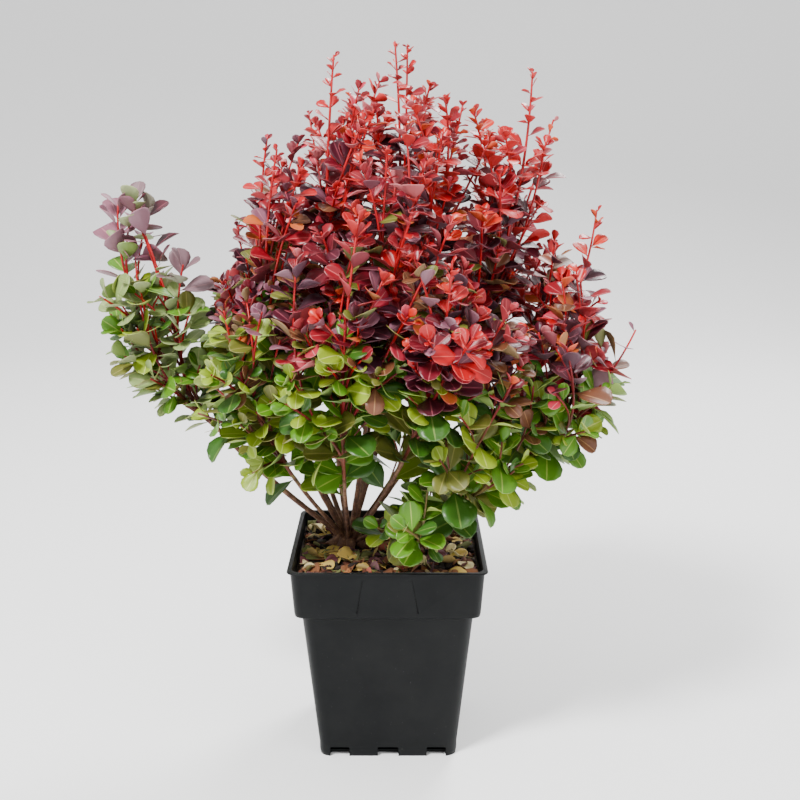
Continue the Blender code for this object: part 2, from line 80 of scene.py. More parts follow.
# The studio: a pale paper that sweeps up behind the plant, a white surround, a broad lamp over the left
# shoulder, a lower one at the right, and one behind that lights the leaves' edges.
def deselect_all():
    if bpy.context.mode != "OBJECT":
        bpy.ops.object.mode_set(mode="OBJECT")
    bpy.ops.object.select_all(action="DESELECT")


def new_finish(name):
    """A new material with its node tree and its main shader."""
    made = bpy.data.materials.new(name)
    made.use_nodes = True
    return made, made.node_tree, made.node_tree.nodes["Principled BSDF"]


SWEEP_WIDTH = 12.0
SWEEP_LENGTH = 16.0
SWEEP_FRONT = -7.0
SWEEP_START = 1.6
SWEEP_RADIUS = 2.2
SWEEP_STEPS = 160
FLOOR_COLOR = (0.94, 0.94, 0.94, 1.0)
SURROUND_COLOR = (1.0, 1.0, 1.0, 1.0)
SURROUND_LIGHT = 1.0
LAMPS = (
    # name, place, size, power
    ("key_lamp", (-0.75, -0.95, 1.75), 0.40, 70.0),
    ("fill_lamp", (1.40, -1.20, 0.90), 1.20, 12.0),
    ("back_lamp", (0.60, 1.30, 1.70), 0.60, 44.0),
)
LAMP_AIM = Vector((0.0, 0.0, 0.30))

deselect_all()
bpy.ops.mesh.primitive_grid_add(x_subdivisions=1, y_subdivisions=SWEEP_STEPS, size=1)
floor = bpy.context.object
floor.name = "studio_floor"
for vertex in floor.data.vertices:
    along = (vertex.co.y + 0.5) * SWEEP_LENGTH + SWEEP_FRONT
    angle = min(max((along - SWEEP_START) / SWEEP_RADIUS, 0.0), math.pi / 2)
    rest = max(along - SWEEP_START - SWEEP_RADIUS * math.pi / 2, 0.0)
    vertex.co.x *= SWEEP_WIDTH
    vertex.co.y = min(along, SWEEP_START) + SWEEP_RADIUS * math.sin(angle)
    vertex.co.z = SWEEP_RADIUS * (1 - math.cos(angle)) + rest
floor.data.shade_smooth()
floor_finish, _, floor_shader = new_finish("floor_paper")
floor_shader.inputs["Base Color"].default_value = FLOOR_COLOR
floor_shader.inputs["Roughness"].default_value = 0.9
floor_shader.inputs["Specular IOR Level"].default_value = 0.1
floor.data.materials.append(floor_finish)

surround = bpy.data.worlds.new("surround")
surround.use_nodes = True
surround.node_tree.nodes["Background"].inputs["Color"].default_value = SURROUND_COLOR
surround.node_tree.nodes["Background"].inputs["Strength"].default_value = SURROUND_LIGHT
bpy.context.scene.world = surround

for name, place, size, power in LAMPS:
    lamp = bpy.data.lights.new(name, "AREA")
    lamp.size = size
    lamp.energy = power
    holder = bpy.data.objects.new(name, lamp)
    holder.location = place
    holder.rotation_euler = (LAMP_AIM - Vector(place)).to_track_quat("-Z", "Y").to_euler()
    bpy.context.scene.collection.objects.link(holder)


# The pot: thin black polypropylene, blown in one piece, with a tapered body, a wider collar, a thin rim
# turned out at the top, a sunken and creased panel on the collar, and drain notches between short feet.
POT_CORNER = 0.0090
COLLAR_CORNER = 0.0072
CORNER_SEGMENTS = 6
POT_FLOOR = 0.0022
RIM_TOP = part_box("pot")[1][2]
RIM_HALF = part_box("pot")[1][0]
POT_OUTSIDE = (
    # half width, height
    (0.0540, 0.0), (0.0546, 0.0040), (0.0546, 0.0090), (0.0658, 0.1216), (0.0663, 0.1230),
    (0.0694, 0.1232), (0.0708, 0.1243), (0.0713, 0.1274), (0.0736, 0.1598), (0.0742, RIM_TOP - 0.0014),
    (RIM_HALF - 0.0003, RIM_TOP - 0.0014), (RIM_HALF, RIM_TOP - 0.0009), (RIM_HALF - 0.0004, RIM_TOP),
)
POT_INSIDE = (
    (0.0724, RIM_TOP), (0.0722, RIM_TOP - 0.0010), (0.0700, 0.1290), (0.0645, 0.1246), (0.0533, 0.0090),
    (0.0522, POT_FLOOR),
)
NOTCHES = ((-0.0382, 0.0151), (0.0, 0.0164), (0.0382, 0.0151))
NOTCH_HEIGHT = 0.0079
NOTCH_DEPTH = 0.014
NOTCH_ROUND = 0.0010
EDGE_ROUND = 0.0003
COLLAR_FACE = ((0.0713, 0.1274), (0.0737, 0.1605))  # half width and height at its foot and its head
PANEL_FOOT_HALF = 0.0234
PANEL_TOP_HALF = 0.0188
PANEL_HEIGHTS = (0.1285, 0.1558)
PANEL_RUNS_DOWN = 0.006
PANEL_SUNK = 0.0005
CREASE_WIDTH = 0.0011
CREASE_DEPTH = 0.0011
CUTTER_PROUD = 0.01


def edit(obj):
    deselect_all()
    bpy.context.view_layer.objects.active = obj
    obj.select_set(True)
    bpy.ops.object.mode_set(mode="EDIT")


def apply_modifiers(obj):
    deselect_all()
    bpy.context.view_layer.objects.active = obj
    obj.select_set(True)
    for modifier in list(obj.modifiers):
        bpy.ops.object.modifier_apply(modifier=modifier.name)


def cut(target, cutter):
    modifier = target.modifiers.new("cut", "BOOLEAN")
    modifier.operation = "DIFFERENCE"
    modifier.object = cutter
    apply_modifiers(target)
    bpy.data.objects.remove(cutter)


def sink_collar(turn, edge, foot, depth):
    """Sinks the panel (edge 0) or the crease at one of its edges (-1 or 1) into the collar's face."""
    deselect_all()
    bpy.ops.mesh.primitive_cube_add(size=2, location=(0, 0, 0))
    cutter = bpy.context.object
    (foot_half, foot_height), (head_half, head_height) = COLLAR_FACE
    for vertex in cutter.data.vertices:
        high = vertex.co.z > 0
        half = PANEL_TOP_HALF if high else PANEL_FOOT_HALF
        height = PANEL_HEIGHTS[1] if high else foot
        share = (height - foot_height) / (head_height - foot_height)
        face = foot_half + share * (head_half - foot_half)
        out = face - depth if vertex.co.y > 0 else face + CUTTER_PROUD
        wide = CREASE_WIDTH / 2 if edge else half
        vertex.co = (edge * half + vertex.co.x * wide, -out, height)
    cutter.rotation_euler = (0, 0, turn)
    cut(pot, cutter)


deselect_all()
bpy.ops.mesh.primitive_plane_add(size=2 * POT_OUTSIDE[0][0], location=(0, 0, 0))
pot = bpy.context.object
pot.name = "pot_shell"
edit(pot)
bpy.ops.mesh.select_all(action="SELECT")
bpy.ops.mesh.bevel(offset=POT_CORNER, segments=CORNER_SEGMENTS, affect="VERTICES", profile=0.5)
bpy.ops.mesh.select_all(action="SELECT")
profile = POT_OUTSIDE + POT_INSIDE
for (half, height), (next_half, next_height) in zip(profile, profile[1:]):
    bpy.ops.mesh.extrude_region_move(
        TRANSFORM_OT_translate={"value": (0, 0, next_height - height)}
    )
    share = next_half / half
    bpy.ops.transform.resize(value=(share, share, 1), center_override=(0, 0, 0))
bpy.ops.mesh.select_all(action="SELECT")
bpy.ops.mesh.normals_make_consistent(inside=False)
bpy.ops.object.mode_set(mode="OBJECT")
ring_count = 4 * (CORNER_SEGMENTS + 1)
for vertex in pot.data.vertices:
    half, height = profile[min(vertex.index // ring_count, len(profile) - 1)]
    made_corner = POT_CORNER * half / POT_OUTSIDE[0][0]
    tight = COLLAR_CORNER if height > POT_OUTSIDE[5][1] else POT_CORNER
    for axis in (0, 1):
        share = (abs(vertex.co[axis]) - half + made_corner) / made_corner
        vertex.co[axis] = math.copysign(half - tight + share * tight, vertex.co[axis])

for quarter in range(4):
    turn = quarter * math.pi / 2
    for middle, width in NOTCHES:
        deselect_all()
        bpy.ops.mesh.primitive_cube_add(size=1, location=(0, 0, 0))
        notch = bpy.context.object
        notch.scale = (width, NOTCH_DEPTH, 2 * NOTCH_HEIGHT)
        notch.location = (
            math.cos(turn) * middle + math.sin(turn) * POT_OUTSIDE[1][0],
            math.sin(turn) * middle - math.cos(turn) * POT_OUTSIDE[1][0],
            0,
        )
        notch.rotation_euler = (0, 0, turn)
        bevel = notch.modifiers.new("round", "BEVEL")
        bevel.width = NOTCH_ROUND
        bevel.segments = 2
        bpy.ops.object.transform_apply(location=False, rotation=False, scale=True)
        apply_modifiers(notch)
        cut(pot, notch)

    sink_collar(turn, 0, PANEL_HEIGHTS[0] - PANEL_RUNS_DOWN, PANEL_SUNK)
    for edge in (-1, 1):
        sink_collar(turn, edge, PANEL_HEIGHTS[0], CREASE_DEPTH)

bevel = pot.modifiers.new("soft_edges", "BEVEL")
bevel.width = EDGE_ROUND
bevel.segments = 2
bevel.limit_method = "ANGLE"
bevel.angle_limit = math.radians(38)
apply_modifiers(pot)
deselect_all()
pot.select_set(True)
bpy.context.view_layer.objects.active = pot
bpy.ops.object.shade_smooth_by_angle(angle=math.radians(32))


def node(tree, kind, **settings):
    made = tree.nodes.new(kind)
    for name, value in settings.items():
        setattr(made, name, value)
    return made


def color_ramp(tree, stops):
    """A ramp node through (position, color) stops."""
    ramp = node(tree, "ShaderNodeValToRGB")
    ramp.color_ramp.elements[0].position, ramp.color_ramp.elements[0].color = stops[0]
    ramp.color_ramp.elements[1].position, ramp.color_ramp.elements[1].color = stops[-1]
    for position, color in stops[1:-1]:
        ramp.color_ramp.elements.new(position).color = color
    return ramp


def noise_node(tree, place, scale, detail, roughness=0.5):
    made = node(tree, "ShaderNodeTexNoise")
    for name, value in (("Scale", scale), ("Detail", detail), ("Roughness", roughness)):
        made.inputs[name].default_value = value
    tree.links.new(place, made.inputs["Vector"])
    return made


def add_relief(tree, shader, height, strength, distance):
    relief = node(tree, "ShaderNodeBump")
    relief.inputs["Strength"].default_value = strength
    relief.inputs["Distance"].default_value = distance
    tree.links.new(height, relief.inputs["Height"])
    tree.links.new(relief.outputs["Normal"], shader.inputs["Normal"])


plastic, tree, shader = new_finish("black_polypropylene")
place = node(tree, "ShaderNodeTexCoord").outputs["Object"]
grain = noise_node(tree, place, 900, 2)
blotches = noise_node(tree, place, 22, 6, 0.65)
specks = node(tree, "ShaderNodeTexVoronoi")
specks.inputs["Scale"].default_value = 190
tree.links.new(place, specks.inputs["Vector"])
drawn_out = node(tree, "ShaderNodeMapping")
drawn_out.inputs["Scale"].default_value = (1, 1, 0.45)
tree.links.new(place, drawn_out.inputs["Vector"])
streaks = noise_node(tree, drawn_out.outputs["Vector"], 520, 4)
blotch_ramp = color_ramp(tree, ((0.42, (0.0024, 0.0030, 0.0034, 1)), (0.68, (0.0056, 0.0062, 0.0064, 1))))
tree.links.new(blotches.outputs["Fac"], blotch_ramp.inputs["Fac"])
speck_mask = color_ramp(tree, ((0.0, (1, 1, 1, 1)), (0.050, (0, 0, 0, 1))))
tree.links.new(specks.outputs["Distance"], speck_mask.inputs["Fac"])
streak_mask = color_ramp(tree, ((0.70, (0, 0, 0, 1)), (0.82, (0.5, 0.5, 0.5, 1))))
tree.links.new(streaks.outputs["Fac"], streak_mask.inputs["Fac"])
dusty = node(tree, "ShaderNodeMath", operation="ADD", use_clamp=True)
tree.links.new(speck_mask.outputs["Color"], dusty.inputs[0])
tree.links.new(streak_mask.outputs["Color"], dusty.inputs[1])
amount = node(tree, "ShaderNodeMath", operation="MULTIPLY")
tree.links.new(dusty.outputs["Value"], amount.inputs[0])
tree.links.new(blotches.outputs["Fac"], amount.inputs[1])
dust_mix = node(tree, "ShaderNodeMix", data_type="RGBA")
dust_mix.inputs[7].default_value = (0.12, 0.12, 0.115, 1)
tree.links.new(amount.outputs["Value"], dust_mix.inputs[0])
tree.links.new(blotch_ramp.outputs["Color"], dust_mix.inputs[6])
tree.links.new(dust_mix.outputs[2], shader.inputs["Base Color"])
rough = color_ramp(tree, ((0.3, (0.36, 0.36, 0.36, 1)), (0.7, (0.52, 0.52, 0.52, 1))))
tree.links.new(blotches.outputs["Fac"], rough.inputs["Fac"])
tree.links.new(rough.outputs["Color"], shader.inputs["Roughness"])
add_relief(tree, shader, grain.outputs["Fac"], 0.12, 0.0004)
shader.inputs["Specular IOR Level"].default_value = 0.14
pot.data.materials.append(plastic)
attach(pot, "root")
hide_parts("pot")


# The potting mix: composted bark, filled to a finger under the rim. Its top is a lumpy, dark, matt
# crust, and the loose chips and dead leaves that the photograph shows lie on it as pieces of their own.
MIX_TOP = 0.1520
MIX_LUMP = 0.0028
MIX_FOOT = 0.1300
MIX_SQUARES = 90
MIX_HALF = 0.0712
MIX_CORNER = 0.0068
MIX_FOOT_HALF = 0.0692

deselect_all()
bpy.ops.mesh.primitive_grid_add(x_subdivisions=MIX_SQUARES, y_subdivisions=MIX_SQUARES, size=2 * MIX_HALF)
mix = bpy.context.object
mix.name = "mix_surface"


def mix_height(x, y):
    """The crust's height: broad swells with crumbs on them."""
    swell = noise(Vector((x * 38, y * 38, 3.1)))
    crumb = noise(Vector((x * 210, y * 210, 7.7)))
    return MIX_TOP - 0.0012 + MIX_LUMP * (0.55 * swell + 0.45 * crumb)


for vertex in mix.data.vertices:
    x, y = vertex.co.x, vertex.co.y
    over_x = max(abs(x) - (MIX_HALF - MIX_CORNER), 0)
    over_y = max(abs(y) - (MIX_HALF - MIX_CORNER), 0)
    over = math.hypot(over_x, over_y)
    if over > MIX_CORNER:
        vertex.co.x -= math.copysign(over_x * (1 - MIX_CORNER / over), x)
        vertex.co.y -= math.copysign(over_y * (1 - MIX_CORNER / over), y)
    vertex.co.z = mix_height(x, y)
edit(mix)
bpy.ops.mesh.select_all(action="SELECT")
bpy.ops.mesh.extrude_region_move(TRANSFORM_OT_translate={"value": (0, 0, MIX_FOOT - MIX_TOP)})
foot_share = MIX_FOOT_HALF / MIX_HALF
bpy.ops.transform.resize(value=(foot_share, foot_share, 0), center_override=(0, 0, MIX_FOOT))
bpy.ops.mesh.select_all(action="SELECT")
bpy.ops.mesh.normals_make_consistent(inside=False)
bpy.ops.object.mode_set(mode="OBJECT")
bpy.ops.object.shade_smooth_by_angle(angle=math.radians(60))


def earthy(name, stops, scale, bump_depth, roughness=0.92):
    """A matt, crumbly finish: a noise through a ramp of browns, and the same noise as relief."""
    made, tree, shader = new_finish(name)
    shader.inputs["Roughness"].default_value = roughness
    place = node(tree, "ShaderNodeTexCoord").outputs["Object"]
    crumbs = noise_node(tree, place, scale, 5, 0.7)
    ramp = color_ramp(tree, stops)
    tree.links.new(crumbs.outputs["Fac"], ramp.inputs["Fac"])
    tree.links.new(ramp.outputs["Color"], shader.inputs["Base Color"])
    add_relief(tree, shader, crumbs.outputs["Fac"], 0.8, bump_depth)
    return made


mix.data.materials.append(earthy(
    "bark_compost",
    ((0.30, (0.006, 0.004, 0.003, 1)), (0.52, (0.035, 0.018, 0.010, 1)), (0.72, (0.11, 0.060, 0.032, 1))),
    420, 0.0015,
))
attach(mix, "root")
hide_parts("potting_mix")


# The canes: woody stems that fan out of one flared root crown, each set by the bearing, the reach and
# the height of its tip, as the solids are. Bark covers them below, and they run on into the foliage.
CROWN = Vector((-0.032, 0.020, MIX_TOP))
CROWN_RISE = 0.0020
CROWN_BALL = 0.0195
CROWN_FLARE = 0.0270
CANE_STEPS = 8
CANE_TAPER = 0.85
CANE_HANDLE = 0.42
CANE_HANDLE_BY_BOW = 0.016
CANE_CLEAR = 0.0010
LOWEST_RISE = math.radians(24)
EASING_ROUNDS = 60
TIP_RADIUS = 0.0007
SHOOT_RADIUS = 0.0013
GAP = 0.0003

Cane = collections.namedtuple("Cane", "name bearing reach height bow girth bare sides")
CANES = (
    Cane("left_wing", -172, 0.172, 0.283, 19, 0.0032, 0.30, 4),
    Cane("left_shoulder", -127, 0.137, 0.216, 12, 0.0026, 0.30, 3),
    Cane("left_back", 167, 0.090, 0.264, 9, 0.0026, 0.34, 3),
    Cane("left_rocket", -131, 0.080, 0.334, 8, 0.0028, 0.28, 3),
    Cane("upper_left", -96, 0.050, 0.391, 5, 0.0034, 0.26, 3),
    Cane("upper_back", 72, 0.014, 0.364, 4, 0.0030, 0.30, 2),
    Cane("top", 28, 0.042, 0.404, 4, 0.0036, 0.28, 3),
    Cane("front_centre", -70, 0.096, 0.328, 9, 0.0030, 0.30, 3),
    Cane("front_left", -88, 0.140, 0.218, 12, 0.0025, 0.36, 3),
    Cane("front_right", -63, 0.168, 0.256, 14, 0.0027, 0.36, 3),
    Cane("centre_right", -19, 0.094, 0.357, 6, 0.0032, 0.28, 3),
    Cane("right_rocket", -16, 0.143, 0.380, 8, 0.0034, 0.30, 3),
    Cane("right_outer", -6, 0.192, 0.279, 13, 0.0028, 0.34, 3),
    Cane("right_low", -13, 0.226, 0.192, 15, 0.0027, 0.40, 3),
    Cane("low_right", -42, 0.170, 0.098, 12, 0.0025, 0.36, 3),
    Cane("front_droop", -52, 0.115, 0.028, 4, 0.0021, 0.48, 2),
    Cane("back_right", 32, 0.158, 0.270, 12, 0.0028, 0.34, 4),
    Cane("back", 74, 0.138, 0.290, 10, 0.0028, 0.34, 4),
    Cane("back_left", 122, 0.140, 0.250, 12, 0.0028, 0.32, 4),
)


def polar(bearing, reach, height):
    """A point given from the root crown, as a gardener would pace it out."""
    angle = math.radians(bearing)
    return CROWN + Vector((reach * math.cos(angle), reach * math.sin(angle), height))


def bow_path(start, handle, end, steps):
    """Points of the plain curve that sets out towards the handle and ends at the tip."""
    points = []
    for step in range(steps + 1):
        t = step / steps
        points.append(start * (1 - t) ** 2 + handle * (2 * t * (1 - t)) + end * t * t)
    return points


def aim(rise, bearing):
    return Vector((
        math.cos(rise) * math.cos(bearing),
        math.cos(rise) * math.sin(bearing),
        math.sin(rise),
    ))


def first_directions():
    """The directions in which the canes leave the crown, eased apart until each has its own room."""
    directions = []
    for cane in CANES:
        chord = polar(cane.bearing, cane.reach, cane.height) - CROWN - Vector((0, 0, CROWN_RISE))
        rise = math.atan2(chord.z, math.hypot(chord.x, chord.y)) - math.radians(cane.bow)
        directions.append(aim(rise, math.atan2(chord.y, chord.x)))
    for _ in range(EASING_ROUNDS):
        for i, first in enumerate(CANES):
            for j, second in enumerate(CANES[:i]):
                room = (first.girth + second.girth + CANE_CLEAR) / CROWN_BALL
                lack = room - directions[i].angle(directions[j])
                if lack > 0:
                    apart = (directions[i] - directions[j]).normalized() * (lack / 2)
                    directions[i] = (directions[i] + apart).normalized()
                    directions[j] = (directions[j] - apart).normalized()
        for i, direction in enumerate(directions):
            rise = max(math.asin(direction.z), LOWEST_RISE)
            directions[i] = aim(rise, math.atan2(direction.y, direction.x))
    return directions


def cane_curve(cane, out):
    """The start, handle and tip of a cane with its leading shoot."""
    tip = polar(cane.bearing, cane.reach, cane.height)
    start = CROWN + Vector((0, 0, CROWN_RISE)) + out * (CROWN_BALL + GAP)
    pull = CANE_HANDLE + CANE_HANDLE_BY_BOW * cane.bow
    return start, start + out * (pull * (tip - start).length), tip


def cane_radius(cane, share):
    return TIP_RADIUS + (cane.girth - TIP_RADIUS) * (1 - share) ** CANE_TAPER


def lengths_along(path):
    run = [0.0]
    for a, b in zip(path, path[1:]):
        run.append(run[-1] + (b - a).length)
    return run


def at_length(path, run, length):
    """The point and the direction at a length along a path."""
    for i in range(len(path) - 1):
        if length <= run[i + 1] or i == len(path) - 2:
            share = (length - run[i]) / (run[i + 1] - run[i])
            return path[i].lerp(path[i + 1], share), (path[i + 1] - path[i]).normalized()
    return path[-1], (path[-1] - path[-2]).normalized()


def stretch(path, low, high, steps):
    """The part of a path between two shares of its length, in even steps."""
    run = lengths_along(path)
    points = []
    for step in range(steps + 1):
        share = low + (high - low) * step / steps
        points.append(at_length(path, run, share * run[-1])[0])
    return points


def across(direction):
    side = direction.orthogonal().normalized()
    return side, direction.cross(side).normalized()


class Growth:
    """Vertices and faces gathered for one joined piece, each face with its material slot."""

    def __init__(self):
        self.points = []
        self.faces = []
        self.slots = []
        self.count = 0

    def add(self, points, faces, slots):
        self.points.append(np.asarray(points, dtype=np.float32))
        self.faces += [tuple(i + self.count for i in face) for face in faces]
        self.slots += slots
        self.count += len(points)

    def limb(self, path, radii, sides, slot=0, wobble=None):
        """A tapering limb: rings carried along the path, a rounded end, and the bark's own unevenness."""
        side = across((path[1] - path[0]).normalized())[0]
        points = []
        for i, point in enumerate(path):
            ahead = path[min(i + 1, len(path) - 1)]
            behind = path[max(i - 1, 0)]
            direction = (ahead - behind).normalized()
            side = (side - direction * side.dot(direction)).normalized()
            other = direction.cross(side)
            for corner in range(sides):
                angle = corner / sides * math.tau
                radius = radii[i] * (wobble(point, angle, i) if wobble else 1.0)
                points.append(point + (side * math.cos(angle) + other * math.sin(angle)) * radius)
        points.append(path[0])
        points.append(path[-1] + (path[-1] - path[-2]).normalized() * radii[-1])
        faces = []
        last = (len(path) - 1) * sides
        for ring in range(len(path) - 1):
            for corner in range(sides):
                a = ring * sides + corner
                b = ring * sides + (corner + 1) % sides
                faces.append((a, b, b + sides, a + sides))
        for corner in range(sides):
            after = (corner + 1) % sides
            faces.append((after, corner, len(points) - 2))
            faces.append((last + corner, last + after, len(points) - 1))
        self.add(points, faces, [slot] * len(faces))

    def make(self, name, finishes, record_slot, replaced=()):
        mesh = bpy.data.meshes.new(name)
        mesh.from_pydata(np.concatenate(self.points).tolist(), [], self.faces)
        mesh.polygons.foreach_set("material_index", self.slots)
        mesh.polygons.foreach_set("use_smooth", [True] * len(self.faces))
        for finish in finishes:
            mesh.materials.append(finish)
        made = bpy.data.objects.new(name, mesh)
        bpy.context.scene.collection.objects.link(made)
        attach(made, "root")
        if replaced:
            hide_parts(*replaced)
        return made


def bark_wobble(point, angle, ring):
    """Long furrows and the swellings of old buds."""
    furrow = noise(Vector((math.cos(angle) * 2.2, math.sin(angle) * 2.2, point.z * 45)))
    lump = noise(point * 130)
    return 1.0 + 0.10 * furrow + 0.14 * lump


CANE_RINGS = 60
CANE_SIDES = 10
CANE_SLIM = 0.74
CANE_FOOT_SUNK = 0.004
CANE_FOOT_STEPS = 5
BARK_RUNS_ON = 0.03
ROOT_COUNT = 9
ROOT_TURN = 2.4
ROOT_STEPS = 8
ROOT_REACH = 0.72 * CROWN_FLARE
ROOT_GIRTHS = (0.0026, 0.0042)
curves = [cane_curve(cane, out) for cane, out in zip(CANES, first_directions())]
cane_paths = [bow_path(*curve, CANE_STEPS) for curve in curves]
bark = earthy(
    "barberry_bark",
    ((0.30, (0.035, 0.014, 0.008, 1)), (0.50, (0.120, 0.050, 0.026, 1)), (0.70, (0.26, 0.14, 0.075, 1))),
    160, 0.0006, 0.78,
)
wood = Growth()
for cane, curve in zip(CANES, curves):
    smooth = bow_path(*curve, CANE_RINGS)
    foot = CROWN + Vector((0, 0, -CANE_FOOT_SUNK))
    covered = cane.bare + BARK_RUNS_ON
    path = [foot.lerp(smooth[0], step / CANE_FOOT_STEPS) for step in range(CANE_FOOT_STEPS)]
    path += stretch(smooth, 0.0, covered, CANE_RINGS)
    radii = [CANE_SLIM * cane.girth * (1.25 - 0.05 * step) for step in range(CANE_FOOT_STEPS)]
    radii += [CANE_SLIM * cane_radius(cane, covered * i / CANE_RINGS) for i in range(CANE_RINGS + 1)]
    wood.limb(path, radii, CANE_SIDES, 0, bark_wobble)
for step in range(ROOT_COUNT):
    turn = step * ROOT_TURN
    path, radii = [], []
    for i in range(ROOT_STEPS + 1):
        share = i / ROOT_STEPS
        point = CROWN + Vector((math.cos(turn), math.sin(turn), 0)) * (ROOT_REACH * (1 - share))
        point.z = MIX_TOP - 0.001 + 0.012 * share ** 1.6
        path.append(point)
        radii.append(ROOT_GIRTHS[0] + ROOT_GIRTHS[1] * share)
    wood.limb(path, radii, CANE_SIDES, 0, bark_wobble)
wood.make("woody_canes", [bark], "bark", ["root_crown"] + [f"cane_{cane.name}" for cane in CANES])


# The young shoots: this year's smooth red growth. A leader runs on from each cane, side shoots fork
# from it a golden angle apart, and short twigs, forked by the same rule, fill the crown between them.
LEADER_STEPS = 6
SHOOT_STEPS = 3
STANDING_FORK = 0.12
FORK_HANDLE = 0.45
SIDE_FIRST = 0.08
SIDE_LAST = 0.60
SIDE_SPREAD = 0.062
SIDE_OUT = 0.75
SIDE_ALONG = 0.80
SIDE_UP = 0.60
SIDE_KEEP_OFF = 0.009
SIDE_TRIES = 8
GOLDEN_ANGLE = math.radians(137.508)
SHORTEST_DROP = 0.0500
TIP_LEAF = 0.0170
SEED = 23
LEADER_RINGS = 44
SHOOT_RINGS = 16
TWIG_RINGS = 7
TWIG_REACH = 0.044
TWIG_RADIUS = SHOOT_RADIUS * 0.62
TIP_INSIDE = 0.010
TWIG_KEEP_OFF = 0.0030
LOWEST_TWIG = MIX_TOP + 0.034
LOW_TWIGS_FROM = 0.40
LOW_TWIG_STEP = 0.024
LOW_TWIG_TRIES = 6
LOW_TWIG_HIGHEST = 0.14
LEADER_ENDS_SHORT = 0.0055
DOMES = (
    # middle x and y, height over the mix, radius: the crown, its left wing, its right shoulder and the
    # tall shoots above that
    (0.010, 0.005, 0.374, 0.172),
    (-0.190, -0.004, 0.292, 0.034),
    (0.142, -0.030, 0.232, 0.042),
    (0.098, -0.018, 0.352, 0.048),
)
GROWTHS = (
    # order, steps between forks on leaders and on other shoots, reach, bare end, rings, tries,
    # root radius, how upright it grows, greatest height
    (2, (0.036, 0.050), 0.100, 0.040, 14, 10, SHOOT_RADIUS * 0.90, 0.45, 0.40),
    (3, (0.034, 0.036), TWIG_REACH, 0.030, TWIG_RINGS, 4, TWIG_RADIUS, 0.0, 0.225),
)
SHOOT_TINTS = (
    # name, sRGB colour, roughness
    ("shoot_scarlet", (176, 14, 22), 0.38),
    ("shoot_crimson", (124, 16, 24), 0.42),
    ("shoot_russet", (104, 48, 34), 0.50),
    ("shoot_olive", (112, 92, 48), 0.55),
)
STANDING_SHOOTS = {
    "left_wing": ((-156, 0.130, 0.236), (-160, 0.156, 0.150)),
    "left_shoulder": ((-128, 0.110, 0.086), (-143, 0.134, 0.130)),
    "left_back": ((146, 0.120, 0.210),),
    "left_rocket": ((-116, 0.100, 0.321),),
    "upper_left": ((-75, 0.052, 0.335),),
    "upper_back": ((128, 0.050, 0.345), (68, 0.066, 0.340)),
    "top": ((-12, 0.048, 0.394), (10, 0.058, 0.348)),
    "front_centre": ((-69, 0.139, 0.280),),
    "front_left": ((-108, 0.096, 0.100),),
    "front_right": ((-62, 0.191, 0.203),),
    "centre_right": ((-41, 0.091, 0.329),),
    "right_rocket": ((4, 0.160, 0.340), (15, 0.113, 0.338)),
    "right_low": ((-22, 0.215, 0.152), (-29, 0.202, 0.121)),
    "low_right": ((-60, 0.139, 0.106),),
    "back_right": ((16, 0.182, 0.215),),
    "back": ((58, 0.163, 0.225),),
    "back_left": ((146, 0.150, 0.175),),
}


def segments_of(path):
    return [(a, b) for a, b in zip(path, path[1:])]


def distances(point, starts, ends):
    along = ends - starts
    share = ((point - starts) * along).sum(axis=1) / (along * along).sum(axis=1)
    nearest = starts + along * np.clip(share, 0, 1)[:, None]
    return np.linalg.norm(nearest - point, axis=1)


def clear_of(path, lines, keep_off):
    """True if a path stays this far from every line in the list, given as (start, end, radius)."""
    starts = np.array([line[0] for line in lines])
    ends = np.array([line[1] for line in lines])
    radii = np.array([line[2] for line in lines])
    return all((distances(np.array(point), starts, ends) - radii).min() >= keep_off for point in path)


def forked_shoot(leader, share, tip, steps):
    """A shoot that leaves the leader part way up and curves on to its own tip."""
    run = lengths_along(leader)
    start, direction = at_length(leader, run, share * run[-1])
    handle = start + direction * (FORK_HANDLE * (tip - start).length)
    return bow_path(start, handle, tip, steps)


def side_tip(leader, share, turn, spread, upright=0.0):
    """Where a side shoot ends: shorter the higher it forks, its bearing a golden angle from the last."""
    run = lengths_along(leader)
    start, direction = at_length(leader, run, share * run[-1])
    one, other = across(direction)
    out = one * math.cos(turn) + other * math.sin(turn)
    reach = spread * (1 - share / 2)
    lean = out * (SIDE_OUT * (1 - upright)) + direction * SIDE_ALONG
    return start + (lean + Vector((0, 0, SIDE_UP * (1 + upright)))) * reach


